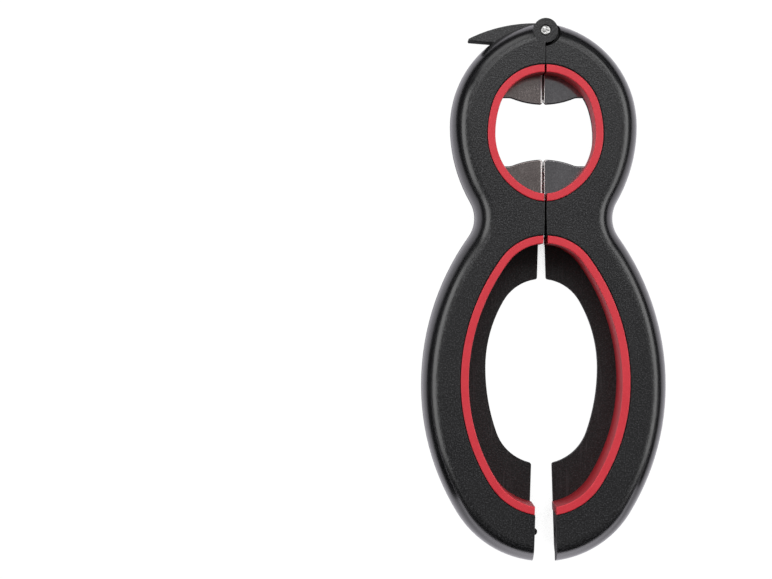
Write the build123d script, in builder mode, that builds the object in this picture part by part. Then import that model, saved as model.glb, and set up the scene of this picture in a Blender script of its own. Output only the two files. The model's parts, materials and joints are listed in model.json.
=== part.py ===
"""Hand opener for ring-pull cans, crown caps and screw lids, lying on its back.

Two hollow arms turn about one steel pin. Shut, they frame a small steel-lipped mouth for crown caps and a
large lined pocket for jar lids. +X is to the right, +Y towards the hinge, +Z out of the front face. The
origin is below the middle of the opener, on the surface that it lies on.
"""

import os
from dataclasses import dataclass, replace
from math import atan2, degrees, radians, sqrt, tan

from build123d import *

os.makedirs("parts", exist_ok=True)

# ------------------------------------------------------------------ driving sizes, in millimetres
# Heights above the surface that the opener lies on
thickness = 25.0
parting_height = 11.5
ledge_thickness = 3.4

# Hinge
knuckle_radius = 4.75
pin_radius = 1.6
pin_fit = 0.05
front_knuckle_height = 6.4
back_knuckle_height = 6.4
knuckle_end_play = 0.2
notch_clearance = 1.3
notch_groove_depth = 4.4
knuckle_clearance = 0.25
pin_head_radius = 1.85
pin_head_height = 0.7
pin_head_sink = 0.1
pin_head_space = 0.35
pin_head_dimple_radius = 0.7
pin_head_dimple_depth = 0.35
pin_head_dimple_slope = 30.0
pin_head_round = 0.3
washer_radius = 3.0
washer_thickness = 0.6
washer_space = 0.3
pin_tail_radius = 2.2
pin_tail_height = 0.5
pin_tail_sink = 0.2

# Pockets, from the hinge down: rim, crown cap pocket, web, jar lid pocket, rim.
# The radius of a pocket's end arc is half its width less the pinch.
hinge_to_cap_pocket = 13.1
cap_half_width = 22.3
cap_rise = 26.8
cap_top_pinch = 0.8
cap_fall = 25.9
cap_bottom_pinch = 6.1
web_height = 13.25
jar_half_width = 32.7
jar_rise = 56.75
jar_top_pinch = 11.8
jar_fall = 51.3
jar_bottom_pinch = 7.5
foot_rim = 18.95

# Plan of the arms around the pockets
crown_above_hinge = 3.9
head_rim = 14.2
head_line_above_cap = 3.6
head_top_radius = 26.0
head_side_radius = 59.4
waist_radius = 12.4
body_side_radius = 100.2
jar_rim = 15.1
body_line_below_jar = 1.5
foot_radius = 39.5

# Section of the arms
front_shoulder = 7.4
back_shoulder = 5.0
seam_step = 0.15
face_wall = 2.2
outer_wall = 5.0
pocket_wall = 2.0
split_wall = 2.2

# Split between the arms: nearly shut beside the crown cap pocket, then opening towards the foot
gap_at_hinge = 0.25
gap_at_web = 0.8
gap_relief_angle = 1.8
back_setback = 0.7
liner_setback = 0.2

# Liners and the ledge that a lid lands on
cap_liner_thickness = 2.95
jar_liner_thickness = 3.1
liner_fit = 0.1
liner_edge = 0.4
shadow_gap_width = 0.35
shadow_gap_depth = 0.8
back_opening_ease = 1.0
ledge_half_width = 22.2
ledge_line_above_jar = 5.0
ledge_rise = 35.1
ledge_top_pinch = 4.8
ledge_fall = 38.2
ledge_bottom_pinch = 3.3
ledge_corner_round = 0.8

# Steel crown cap plates
plate_thickness = 1.5
plate_flange = 3.0
plate_seat_fit = 0.1
plate_edge_round = 0.45
plate_under_liner = 0.7
plate_gap = 0.3
plate_fold_depth = 3.5
plate_fold_from_lip = 2.2
plate_fold_clearance = 0.3
lip_corner_radius = 1.2
mouth_height = 21.5
mouth_line_above_cap = 1.65
lip_crown_radius = 32.0
lip_shoulder = 2.6
lip_shoulder_round = 5.0

# Ring-pull beak, measured from the hinge
beak_thickness = 8.0
beak_below_parting = 5.0
beak_reach = 29.35
beak_tip_drop = 2.5
beak_tip_height = 0.9
beak_tip_round = 0.4
beak_root_rise = 4.05
beak_root_from_hinge = 4.1
beak_back_rise = 2.9
beak_back_from_hinge = 15.0
beak_heel_drop = 3.7
beak_heel_from_hinge = 20.0
beak_tongue_drop = 9.0
beak_tongue_width = 11.0
beak_edge = 0.45
beak_fit = 0.1
socket_wall = 1.6
peg_radius = 1.4
peg_from_hinge = 11.0
peg_drop = 5.5

# Screws that close each arm from the back
screw_shank_radius = 1.25
screw_head_radius = 2.4
screw_head_height = 1.9
screw_head_sink = 0.6
screw_fit = 0.05
screw_head_fit = 0.2
screw_length = 15.0
screw_tip_space = 0.8
screw_cross_length = 3.1
screw_cross_width = 0.7
screw_cross_depth = 1.1
boss_wall = 1.75
screw_from_jar_pocket = 5.5
screw_from_cap_plate = 3.6
web_screw_from_split = 13.0
foot_screw_from_split = 14.0
foot_screw_below_jar = 6.0

# Stud near the foot of the left arm, and its dimple in the right arm
stud_radius = 1.5
stud_stem_radius = 1.0
stud_stem_length = 5.0
stud_fit = 0.05
stud_below_jar = 6.9
stud_above_parting = 5.5
stud_dimple_clearance = 0.9
stud_wall = 1.5

# ------------------------------------------------------------------ places worked out from those sizes
overall_length = (
    knuckle_radius + hinge_to_cap_pocket + cap_rise + cap_fall + web_height + jar_rise + jar_fall + foot_rim
)
hinge_y = overall_length / 2 - knuckle_radius
foot_y = -overall_length / 2
cap_y = hinge_y - hinge_to_cap_pocket - cap_rise
jar_y = cap_y - cap_fall - web_height - jar_rise
web_y = cap_y - cap_fall - web_height / 2
mouth_y = cap_y + mouth_line_above_cap
head_y = cap_y + head_line_above_cap
body_y = jar_y - body_line_below_jar
head_half_width = cap_half_width + head_rim
body_half_width = jar_half_width + jar_rim
stud_y = jar_y - jar_fall - stud_below_jar
stud_z = parting_height + stud_above_parting
front_knuckle_z = thickness - front_knuckle_height
back_knuckle_z = back_knuckle_height
plate_z = parting_height - plate_thickness
beak_z = parting_height - beak_below_parting
beak_top_z = beak_z + beak_thickness
screw_seat_z = screw_head_sink + screw_head_height
far = overall_length
same_place = 0.01


@dataclass(frozen=True)
class Oval:
    """An upright oval: an end arc and two side arcs above its widest line, and as many below."""

    centre_y: float
    half_width: float
    rise: float
    top_pinch: float
    fall: float
    bottom_pinch: float

    @property
    def top_radius(self):
        return self.half_width - self.top_pinch

    @property
    def bottom_radius(self):
        return self.half_width - self.bottom_pinch

    def grown(self, by):
        """The parallel oval that lies outside this one by that much."""
        return replace(self, half_width=self.half_width + by, rise=self.rise + by, fall=self.fall + by)


cap_pocket = Oval(cap_y, cap_half_width, cap_rise, cap_top_pinch, cap_fall, cap_bottom_pinch)
jar_pocket = Oval(jar_y, jar_half_width, jar_rise, jar_top_pinch, jar_fall, jar_bottom_pinch)
ledge_y = jar_y + ledge_line_above_jar
ledge_opening = Oval(
    ledge_y, ledge_half_width, ledge_rise, ledge_top_pinch, ledge_fall, ledge_bottom_pinch
)
back_cap_opening = cap_pocket.grown(back_opening_ease - cap_liner_thickness)


# ------------------------------------------------------------------ plan shapes
def side_arc(half_width, height, end_radius):
    """Radius and angle of the side arc, upright at the widest line and tangent to the end arc."""
    radius = (half_width**2 + height**2 - 2 * height * end_radius) / (2 * (half_width - end_radius))
    return radius, degrees(atan2(height - end_radius, radius - half_width))


def oval_plan(oval):
    """The filled oval."""
    upper, upper_angle = side_arc(oval.half_width, oval.rise, oval.top_radius)
    lower, lower_angle = side_arc(oval.half_width, oval.fall, oval.bottom_radius)
    top_y = oval.centre_y + oval.rise - oval.top_radius
    bottom_y = oval.centre_y - oval.fall + oval.bottom_radius
    with BuildSketch() as drawn:
        with BuildLine():
            CenterArc((0, top_y), oval.top_radius, upper_angle, 90 - upper_angle)
            CenterArc((oval.half_width - upper, oval.centre_y), upper, 0, upper_angle)
            CenterArc((oval.half_width - lower, oval.centre_y), lower, -lower_angle, lower_angle)
            CenterArc((0, bottom_y), oval.bottom_radius, -90, 90 - lower_angle)
            mirror(about=Plane.YZ)
        make_face()
    return drawn.sketch


def waist_centre():
    """Centre of the hollow waist arc, which touches the side arc of the head and that of the body."""
    head_x = head_half_width - head_side_radius
    body_x = body_half_width - body_side_radius
    to_head = head_side_radius + waist_radius
    to_body = body_side_radius + waist_radius
    down = head_y - body_y
    across = head_x - body_x
    apart = sqrt(down**2 + across**2)
    along = (apart**2 + to_body**2 - to_head**2) / (2 * apart)
    aside = sqrt(to_body**2 - along**2)
    x = body_x + (along * across + aside * down) / apart
    y = body_y + (along * down - aside * across) / apart
    return x, y


def outline_plan(inset=0.0):
    """The whole opener without its knuckles: two lobes with a hollow waist between them."""
    head_rise = hinge_y + crown_above_hinge - head_y
    crown_side, crown_angle = side_arc(head_half_width, head_rise, head_top_radius)
    foot_side, foot_angle = side_arc(body_half_width, body_y - foot_y, foot_radius)
    waist_x, waist_y = waist_centre()
    head_centre = (head_half_width - head_side_radius, head_y)
    body_centre = (body_half_width - body_side_radius, body_y)
    head_angle = degrees(atan2(head_y - waist_y, waist_x - head_centre[0]))
    body_angle = degrees(atan2(waist_y - body_y, waist_x - body_centre[0]))
    crown_y = hinge_y + crown_above_hinge - head_top_radius
    with BuildSketch() as drawn:
        with BuildLine():
            CenterArc((0, crown_y), head_top_radius - inset, crown_angle, 90 - crown_angle)
            CenterArc((head_half_width - crown_side, head_y), crown_side - inset, 0, crown_angle)
            CenterArc(head_centre, head_side_radius - inset, -head_angle, head_angle)
            CenterArc(
                (waist_x, waist_y), waist_radius + inset, 180 - head_angle, head_angle + body_angle
            )
            CenterArc(body_centre, body_side_radius - inset, 0, body_angle)
            CenterArc((body_half_width - foot_side, body_y), foot_side - inset, -foot_angle, foot_angle)
            CenterArc((0, foot_y + foot_radius), foot_radius - inset, -90, 90 - foot_angle)
            mirror(about=Plane.YZ)
        make_face()
    return drawn.sketch


def split_x(y, setback=0.0):
    """How far an arm's split face stands from the centre line at that height of the plan."""
    if y > web_y:
        share = (hinge_y - y) / (hinge_y - web_y)
        return (gap_at_hinge + (gap_at_web - gap_at_hinge) * share) / 2 + setback
    return gap_at_web / 2 + (web_y - y) * tan(radians(gap_relief_angle)) + setback


def side_plan(side, setback=0.0):
    """All of the plan that belongs to one arm: side is 1 for the right arm and -1 for the left."""
    with BuildSketch() as drawn:
        with BuildLine():
            Polyline(
                (side * split_x(hinge_y, setback), far),
                (side * split_x(hinge_y, setback), hinge_y),
                (side * split_x(web_y, setback), web_y),
                (side * split_x(-far, setback), -far),
                (side * far, -far),
                (side * far, far),
                close=True,
            )
        make_face()
    return drawn.sketch


def strip_plan(side, inner, width):
    """An upright strip of the plan, on one arm's side of the centre line."""
    with BuildSketch() as drawn:
        with Locations((side * (inner + width / 2), cap_y)):
            Rectangle(width, far)
    return drawn.sketch


def disc_plan(radius, x=0.0, y=hinge_y):
    """A disc, about the hinge unless it is placed elsewhere."""
    with BuildSketch() as drawn:
        with Locations((x, y)):
            Circle(radius)
    return drawn.sketch


def screw_places(side):
    """An arm's four screws: beside the cap pocket, in the web, beside the jar pocket, at the foot."""
    foot_screw_y = jar_y - jar_fall - foot_screw_below_jar
    return [
        (side * (cap_half_width + plate_flange + screw_from_cap_plate), cap_y),
        (side * (split_x(web_y) + web_screw_from_split), web_y),
        (side * (jar_half_width + screw_from_jar_pocket), jar_y),
        (side * (split_x(foot_screw_y) + foot_screw_from_split), foot_screw_y),
    ]


def beak_plan(grow=0.0):
    """The beak from the front, with the tongue that goes into the left arm."""
    tip_y = hinge_y - beak_tip_drop
    root = (-beak_root_from_hinge, hinge_y + beak_root_rise + grow)
    with BuildSketch() as drawn:
        with BuildLine():
            ThreePointArc(
                (-beak_reach - grow, tip_y + beak_tip_height / 2),
                (-beak_back_from_hinge, hinge_y + beak_back_rise + grow),
                root,
            )
            Polyline(
                root,
                (0, root[1]),
                (0, hinge_y),
                (-beak_root_from_hinge + grow, hinge_y - beak_tongue_drop - grow),
                (-beak_root_from_hinge - beak_tongue_width - grow, hinge_y - beak_tongue_drop - grow),
                (-beak_heel_from_hinge - grow, hinge_y - beak_heel_drop - grow),
                (-beak_reach - grow, tip_y - beak_tip_height / 2),
                (-beak_reach - grow, tip_y + beak_tip_height / 2),
            )
        make_face()
        add(disc_plan(knuckle_radius + knuckle_clearance - grow), mode=Mode.SUBTRACT)
    return drawn.sketch


def cavity_plan(side, setback, around_cap):
    """The hollow inside one arm, which leaves the walls, the screw bosses and the hinge solid."""
    boss_radius = screw_shank_radius + screw_fit + boss_wall
    stud_block = stud_stem_length + stud_wall
    with BuildSketch() as drawn:
        add(outline_plan(outer_wall))
        add(side_plan(side, setback + split_wall), mode=Mode.INTERSECT)
        add(oval_plan(jar_pocket.grown(pocket_wall)), mode=Mode.SUBTRACT)
        add(oval_plan(cap_pocket.grown(around_cap)), mode=Mode.SUBTRACT)
        add(disc_plan(knuckle_radius + notch_clearance + pocket_wall), mode=Mode.SUBTRACT)
        for x, y in screw_places(side):
            add(disc_plan(boss_radius, x, y), mode=Mode.SUBTRACT)
        with Locations((side * (split_x(stud_y, setback) + stud_block / 2), stud_y)):
            Rectangle(stud_block, 2 * (stud_radius + stud_wall), mode=Mode.SUBTRACT)
        if side < 0:
            add(beak_plan(socket_wall), mode=Mode.SUBTRACT)
    return drawn.sketch


def mouth_plan(side):
    """The opening between the steel lips of one arm: each lip bulges into it and has a shoulder beside it."""
    lip_y = mouth_height / 2
    step_y = lip_y + lip_shoulder
    step_x = sqrt(lip_crown_radius**2 - (lip_crown_radius - lip_shoulder) ** 2)
    reach = cap_half_width - cap_liner_thickness + plate_under_liner
    with BuildSketch() as drawn:
        with BuildLine():
            lip = RadiusArc((0, lip_y), (step_x, step_y), -lip_crown_radius)
            Polyline(lip @ 1, (reach, step_y), (reach, 0))
            mirror(about=Plane.XZ)
            Line((0, -lip_y), (0, lip_y))
        make_face()
        steps = drawn.vertices().filter_by(lambda corner: abs(corner.X - step_x) < same_place)
        fillet(steps, lip_shoulder_round)
        if side < 0:
            mirror(about=Plane.YZ, mode=Mode.REPLACE)
    return drawn.sketch.moved(Location((0, mouth_y)))


def stud_plane(side):
    """The plane of an arm's split face where the stud is, facing into the gap."""
    normal = (-side, -tan(radians(gap_relief_angle)), 0)
    return Plane(origin=(side * split_x(stud_y), stud_y, stud_z), z_dir=normal)


# ------------------------------------------------------------------ the body of both arms
def shouldered_slab(inset, shoulder, height, upward):
    """The whole opener on one side of the parting plane: a flat face inside a quarter-ellipse shoulder."""
    base = Plane.XY.offset(parting_height)
    rim = base.location * outline_plan(inset).face().outer_wire()
    widest = (body_half_width - inset, body_y, parting_height)
    with BuildPart() as slab:
        with BuildSketch(base):
            add(outline_plan(inset + shoulder))
        extrude(amount=upward * height)
        with BuildSketch(Plane(origin=widest, x_dir=(1, 0, 0), z_dir=(0, -upward, 0))):
            with BuildLine():
                curve = EllipticalCenterArc((-shoulder, 0), shoulder, height, 0, arc_size=90)
                Polyline(curve @ 1, (-2 * shoulder, height), (-2 * shoulder, 0), curve @ 0)
            make_face()
        sweep(path=rim)
    return slab.part


front_slab = shouldered_slab(0.0, front_shoulder, thickness - parting_height, 1)
back_slab = shouldered_slab(seam_step, back_shoulder, parting_height, -1)


def front_shell(side):
    """Front half of an arm: the broad face, the walls of both pockets and its share of the hinge."""
    face_plane = Plane.XY.offset(thickness)
    parting_plane = Plane.XY.offset(parting_height)
    knuckle_top_z = thickness if side < 0 else front_knuckle_z - knuckle_end_play
    knuckle_z = front_knuckle_z if side < 0 else parting_height
    notch_radius = knuckle_radius + (knuckle_clearance if side < 0 else notch_clearance)
    notch_z = parting_height if side < 0 else front_knuckle_z - knuckle_end_play
    notch_top_z = front_knuckle_z if side < 0 else thickness
    with BuildPart() as shell:
        add(front_slab)
        with BuildSketch(parting_plane):
            add(side_plan(side))
        extrude(amount=thickness, mode=Mode.INTERSECT)
        with BuildSketch(parting_plane):
            add(oval_plan(cap_pocket.grown(liner_fit)))
            add(oval_plan(jar_pocket.grown(liner_fit)))
        extrude(amount=thickness, mode=Mode.SUBTRACT)
        with BuildSketch(face_plane):
            add(oval_plan(cap_pocket.grown(liner_fit + shadow_gap_width)))
            add(oval_plan(jar_pocket.grown(liner_fit + shadow_gap_width)))
        extrude(amount=-shadow_gap_depth, mode=Mode.SUBTRACT)
        with BuildSketch(parting_plane):
            add(cavity_plan(side, 0.0, pocket_wall))
        extrude(amount=thickness - parting_height - face_wall, mode=Mode.SUBTRACT)
        with BuildSketch(Plane.XY.offset(notch_z)):
            add(disc_plan(notch_radius))
        extrude(amount=notch_top_z - notch_z, mode=Mode.SUBTRACT)
        with BuildSketch(Plane.XY.offset(knuckle_z)):
            add(disc_plan(knuckle_radius))
        extrude(amount=knuckle_top_z - knuckle_z)
        with BuildSketch(parting_plane):
            add(disc_plan(pin_radius + pin_fit))
        extrude(amount=thickness, mode=Mode.SUBTRACT)
        with BuildSketch(parting_plane):
            for x, y in screw_places(side):
                add(disc_plan(screw_shank_radius + screw_fit, x, y))
        extrude(
            amount=screw_seat_z + screw_length + screw_tip_space - parting_height, mode=Mode.SUBTRACT
        )
        if side < 0:
            with BuildSketch(face_plane):
                add(disc_plan(pin_head_radius + pin_head_space))
            extrude(amount=-pin_head_sink - pin_head_height, mode=Mode.SUBTRACT)
            with BuildSketch(parting_plane):
                add(beak_plan(beak_fit))
                add(disc_plan(peg_radius, -peg_from_hinge, hinge_y - peg_drop), mode=Mode.SUBTRACT)
            extrude(amount=beak_top_z + beak_fit - parting_height, mode=Mode.SUBTRACT)
            with BuildSketch(stud_plane(side)):
                Circle(stud_stem_radius + stud_fit)
            extrude(amount=-stud_stem_length - stud_fit, mode=Mode.SUBTRACT)
        else:
            with BuildSketch(Plane.XY.offset(notch_z - notch_groove_depth)):
                add(disc_plan(notch_radius))
                add(disc_plan(knuckle_radius), mode=Mode.SUBTRACT)
            extrude(amount=notch_groove_depth, mode=Mode.SUBTRACT)
            with BuildSketch(stud_plane(side)):
                Circle(stud_radius + stud_dimple_clearance)
            extrude(amount=-stud_radius - stud_dimple_clearance, mode=Mode.SUBTRACT)
    return shell.part


def back_shell(side):
    """Back half of an arm: the flat that it lies on, the ledge in the jar pocket, the plate's seat."""
    knuckle_z = 0.0 if side < 0 else back_knuckle_z + knuckle_end_play
    knuckle_top_z = back_knuckle_z if side < 0 else parting_height
    notch_radius = knuckle_radius + (knuckle_clearance if side < 0 else notch_clearance)
    notch_z = back_knuckle_z if side < 0 else 0.0
    notch_top_z = parting_height if side < 0 else back_knuckle_z + knuckle_end_play
    plate_seat = plate_flange + plate_seat_fit
    with BuildPart() as shell:
        add(back_slab)
        with BuildSketch():
            add(side_plan(side, back_setback))
        extrude(amount=thickness, mode=Mode.INTERSECT)
        with BuildSketch(Plane.XY.offset(ledge_thickness)):
            add(oval_plan(jar_pocket.grown(liner_fit)))
        extrude(amount=thickness, mode=Mode.SUBTRACT)
        with BuildSketch():
            add(oval_plan(ledge_opening))
            add(oval_plan(back_cap_opening))
        extrude(amount=thickness, mode=Mode.SUBTRACT)
        with BuildSketch(Plane.XY.offset(plate_z)):
            add(oval_plan(cap_pocket.grown(plate_seat)))
        extrude(amount=thickness, mode=Mode.SUBTRACT)
        with BuildSketch(Plane.XY.offset(face_wall)):
            add(cavity_plan(side, back_setback, plate_seat + pocket_wall))
        extrude(amount=thickness, mode=Mode.SUBTRACT)
        with BuildSketch(Plane.XY.offset(notch_z)):
            add(disc_plan(notch_radius))
        extrude(amount=notch_top_z - notch_z, mode=Mode.SUBTRACT)
        with BuildSketch(Plane.XY.offset(knuckle_z)):
            add(disc_plan(knuckle_radius))
        extrude(amount=knuckle_top_z - knuckle_z)
        with BuildSketch():
            add(disc_plan(pin_radius + pin_fit))
            for x, y in screw_places(side):
                add(disc_plan(screw_shank_radius + screw_fit, x, y))
        extrude(amount=thickness, mode=Mode.SUBTRACT)
        with BuildSketch():
            for x, y in screw_places(side):
                add(disc_plan(screw_head_radius + screw_head_fit, x, y))
        extrude(amount=screw_seat_z, mode=Mode.SUBTRACT)
        if side < 0:
            with BuildSketch():
                add(disc_plan(washer_radius + washer_space))
            extrude(amount=pin_tail_sink + pin_tail_height + washer_thickness, mode=Mode.SUBTRACT)
            with BuildSketch(Plane.XY.offset(beak_z - beak_fit)):
                add(beak_plan(beak_fit))
            extrude(amount=thickness, mode=Mode.SUBTRACT)
        ledge_corners = (
            shell.edges()
            .filter_by(Axis.Z)
            .filter_by(lambda edge: abs(edge.length - ledge_thickness) < same_place)
            .filter_by(lambda edge: abs(edge.center().Y - jar_y) < jar_rise)
        )
        fillet(ledge_corners, ledge_corner_round)
    return shell.part


# ------------------------------------------------------------------ what each arm holds
def liner(side, pocket, wall, seat_z):
    """The soft lining of one pocket in one arm, from its seat to the front face."""
    with BuildPart() as ring:
        with BuildSketch(Plane.XY.offset(seat_z)):
            add(oval_plan(pocket))
            add(oval_plan(pocket.grown(-wall)), mode=Mode.SUBTRACT)
            add(side_plan(side, liner_setback), mode=Mode.INTERSECT)
        extrude(amount=thickness - seat_z)
        fillet(ring.faces().sort_by(Axis.Z)[-1].edges(), liner_edge)
    return ring.part


def cap_liner(side):
    """The crown cap pocket's lining, which stands on the steel plate."""
    return liner(side, cap_pocket, cap_liner_thickness, parting_height)


def jar_liner(side):
    """The jar lid pocket's lining, which stands on the ledge."""
    return liner(side, jar_pocket, jar_liner_thickness, ledge_thickness)


def cap_plate(side):
    """The steel stamping with an upper and a lower lip, clamped between an arm's shells.

    Beside the split each lip is stiffened by a fold, turned down into the back shell's opening.
    """
    with BuildPart() as plate:
        with BuildSketch(Plane.XY.offset(plate_z)) as blank:
            add(oval_plan(cap_pocket.grown(plate_flange)))
            add(mouth_plan(side), mode=Mode.SUBTRACT)
            add(strip_plan(side, plate_gap / 2, far), mode=Mode.INTERSECT)
            lip_corners = (
                blank.vertices()
                .sort_by(lambda corner: abs(corner.X))[:4]
                .sort_by(lambda corner: abs(corner.Y - mouth_y))[:2]
            )
            fillet(lip_corners, lip_corner_radius)
        extrude(amount=plate_thickness)
        with BuildSketch(Plane.XY.offset(plate_z - plate_fold_depth)):
            add(oval_plan(back_cap_opening.grown(-plate_fold_clearance)))
            with Locations((0, mouth_y)):
                Rectangle(far, mouth_height + 2 * plate_fold_from_lip, mode=Mode.SUBTRACT)
            add(strip_plan(side, plate_gap / 2, plate_thickness), mode=Mode.INTERSECT)
        extrude(amount=plate_fold_depth)
        fillet(plate.faces().sort_by(Axis.Z)[-1].edges(), plate_edge_round)
    return plate.part


def screws(side):
    """An arm's cross-head screws, driven in from the back."""
    places = screw_places(side)
    with BuildPart() as group:
        with BuildSketch(Plane.XY.offset(screw_head_sink)):
            with Locations(*places):
                Circle(screw_head_radius)
        extrude(amount=screw_head_height)
        with BuildSketch(Plane.XY.offset(screw_seat_z)):
            with Locations(*places):
                Circle(screw_shank_radius)
        extrude(amount=screw_length)
        with BuildSketch(Plane.XY.offset(screw_head_sink)):
            with Locations(*places):
                Rectangle(screw_cross_length, screw_cross_width)
                Rectangle(screw_cross_width, screw_cross_length)
        extrude(amount=screw_cross_depth, mode=Mode.SUBTRACT)
    return group.part


for side, arm in ((-1, "left"), (1, "right")):
    for make in (front_shell, back_shell, cap_liner, jar_liner, cap_plate, screws):
        piece = make(side)
        piece.label = f"{arm}_{make.__name__}"
        export_step(piece, f"parts/{piece.label}.step")

# ------------------------------------------------------------------ ring-pull beak
with BuildPart() as ring_pull_beak:
    with BuildSketch(Plane.XY.offset(beak_z)) as beak_outline:
        add(beak_plan())
        add(disc_plan(peg_radius + beak_fit, -peg_from_hinge, hinge_y - peg_drop), mode=Mode.SUBTRACT)
        fillet(beak_outline.vertices().sort_by(Axis.X)[:2], beak_tip_round)
    extrude(amount=beak_thickness)
    rims = (ring_pull_beak.faces().sort_by(Axis.Z)[-1], ring_pull_beak.faces().sort_by(Axis.Z)[0])
    for rim_face in rims:
        exposed = rim_face.edges().filter_by(lambda edge: edge.center().X < -beak_back_from_hinge)
        fillet(exposed, beak_edge)
ring_pull_beak.part.label = "ring_pull_beak"
export_step(ring_pull_beak.part, "parts/ring_pull_beak.step")

# ------------------------------------------------------------------ hinge pin and its washer
pin_top_z = thickness - pin_head_sink
washer_z = pin_tail_sink + pin_tail_height
with BuildPart() as hinge_pin:
    with BuildSketch(Plane.XY.offset(pin_tail_sink)):
        add(disc_plan(pin_tail_radius))
    extrude(amount=pin_tail_height)
    with BuildSketch(Plane.XY.offset(pin_tail_sink)):
        add(disc_plan(pin_radius))
    extrude(amount=pin_top_z - pin_tail_sink)
    with BuildSketch(Plane.XY.offset(pin_top_z)):
        add(disc_plan(pin_head_radius))
    extrude(amount=-pin_head_height)
    fillet(hinge_pin.faces().sort_by(Axis.Z)[-1].edges(), pin_head_round)
    with BuildSketch(Plane.XY.offset(pin_top_z)):
        add(disc_plan(pin_head_dimple_radius))
    extrude(amount=-pin_head_dimple_depth, taper=pin_head_dimple_slope, mode=Mode.SUBTRACT)
hinge_pin.part.label = "hinge_pin"
export_step(hinge_pin.part, "parts/hinge_pin.step")

with BuildPart() as pin_washer:
    with BuildSketch(Plane.XY.offset(washer_z)):
        add(disc_plan(washer_radius))
        add(disc_plan(pin_radius + pin_fit), mode=Mode.SUBTRACT)
    extrude(amount=washer_thickness)
pin_washer.part.label = "pin_washer"
export_step(pin_washer.part, "parts/pin_washer.step")

# ------------------------------------------------------------------ stud at the foot of the left arm
with BuildPart(stud_plane(-1)) as foot_stud:
    Sphere(stud_radius, arc_size1=0, align=(Align.CENTER, Align.CENTER, Align.MIN))
    with BuildSketch(stud_plane(-1)):
        Circle(stud_stem_radius)
    extrude(amount=-stud_stem_length)
foot_stud.part.label = "foot_stud"
export_step(foot_stud.part, "parts/foot_stud.step")
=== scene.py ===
# %% [markdown]
# # A hinged hand opener for cans, crown caps and jars
#
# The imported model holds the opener's real solids, each at its true place: two hollow black arms on
# one steel pin, red soft linings, a pair of steel lips and a beak for ring pulls. This lesson gives
# them their looks. Everything is in metres. The opener lies on its back, with +Z out of its face.

# %% Load the frame
import json
from math import radians

import bpy
from mathutils import Matrix, Vector


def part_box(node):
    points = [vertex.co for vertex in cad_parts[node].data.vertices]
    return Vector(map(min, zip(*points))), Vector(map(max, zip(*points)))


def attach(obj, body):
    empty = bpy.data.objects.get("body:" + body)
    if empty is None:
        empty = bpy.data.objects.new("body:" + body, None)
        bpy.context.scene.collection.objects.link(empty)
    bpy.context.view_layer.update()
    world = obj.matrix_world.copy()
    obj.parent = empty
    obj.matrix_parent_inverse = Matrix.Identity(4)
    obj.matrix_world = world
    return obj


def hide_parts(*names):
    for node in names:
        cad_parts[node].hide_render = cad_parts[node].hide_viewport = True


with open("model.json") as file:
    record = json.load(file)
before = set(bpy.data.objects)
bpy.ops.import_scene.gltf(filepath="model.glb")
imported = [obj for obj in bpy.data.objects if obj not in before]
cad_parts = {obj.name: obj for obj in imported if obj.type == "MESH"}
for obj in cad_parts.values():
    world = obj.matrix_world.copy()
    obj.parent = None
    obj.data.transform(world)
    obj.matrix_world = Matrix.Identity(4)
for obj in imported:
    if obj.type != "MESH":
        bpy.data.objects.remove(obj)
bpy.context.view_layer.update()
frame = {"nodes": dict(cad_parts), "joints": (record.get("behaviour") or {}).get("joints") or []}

MM = 0.001


def in_mm(lengths):
    """Lengths in metres as rounded millimetres, for printing."""
    return [round(length / MM, 2) for length in lengths]


# %% [markdown]
# ## Camera
#
# The opener is seen straight from above, a little to its left, so both pockets show the inner wall
# of their right side. A long lens, 825 mm up, keeps that perspective mild.

# %% Place the camera
CAMERA_PLACE = (-61.5 * MM, 0.785 * MM, 825 * MM)
SENSOR_WIDTH = 36.0
LENS = 96.9
NEAREST, FARTHEST = 0.01, 20.0
bpy.ops.object.select_all(action="DESELECT")
bpy.ops.object.camera_add(location=CAMERA_PLACE, rotation=(0, 0, 0))
camera = bpy.context.object
camera.name = "camera"
camera.data.sensor_width = SENSOR_WIDTH
camera.data.lens = LENS
camera.data.clip_start = NEAREST
camera.data.clip_end = FARTHEST
bpy.context.scene.camera = camera
bpy.context.scene.view_settings.view_transform = "Standard"
print("camera with a", LENS, "mm lens at", in_mm(camera.location), "mm")

# %% [markdown]
# ## Helpers that add and join nodes
#
# A material is a graph of nodes. Written out line by line, what it is about soon drowns, so a few
# helpers come first. These empty a tree, add a node with its settings, and feed its inputs.


# %% Add and join nodes
def empty_tree(owner):
    """The node tree of a material or a world, with nothing in it yet."""
    owner.use_nodes = True
    owner.node_tree.nodes.clear()
    return owner.node_tree


def add_node(tree, kind, place=(0, 0), inputs=None, **settings):
    """A new node with its settings, and values for the inputs that nothing feeds."""
    node = tree.nodes.new(kind)
    node.location = place
    for name, value in settings.items():
        setattr(node, name, value)
    for name, value in (inputs or {}).items():
        node.inputs[name].default_value = value
    return node


def join_up(tree, *pairs):
    """Links each pair of (output socket, input socket)."""
    for out, into in pairs:
        tree.links.new(out, into)


def feed(tree, socket, value):
    """Gives an input its number or its (red, green, blue), or links the socket that feeds it."""
    if isinstance(value, bpy.types.NodeSocket):
        tree.links.new(value, socket)
    elif isinstance(value, tuple):
        socket.default_value = (*value, 1)
    else:
        socket.default_value = value


# %% [markdown]
# ## Helpers for numbers and colours
#
# Most nodes of a finish do one of four things: they reckon, carry a number from one range to
# another, turn a number into a mask, or blend two colours by a mask. Each has its helper, which
# returns the socket that holds the answer.


# %% Reckon, carry over, mask and blend
def math_node(tree, operation, place, *values):
    """A Math node. Each value is a number or the socket that feeds it."""
    node = add_node(tree, "ShaderNodeMath", place, operation=operation)
    for socket, value in zip(node.inputs, values):
        feed(tree, socket, value)
    return node.outputs[0]


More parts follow.
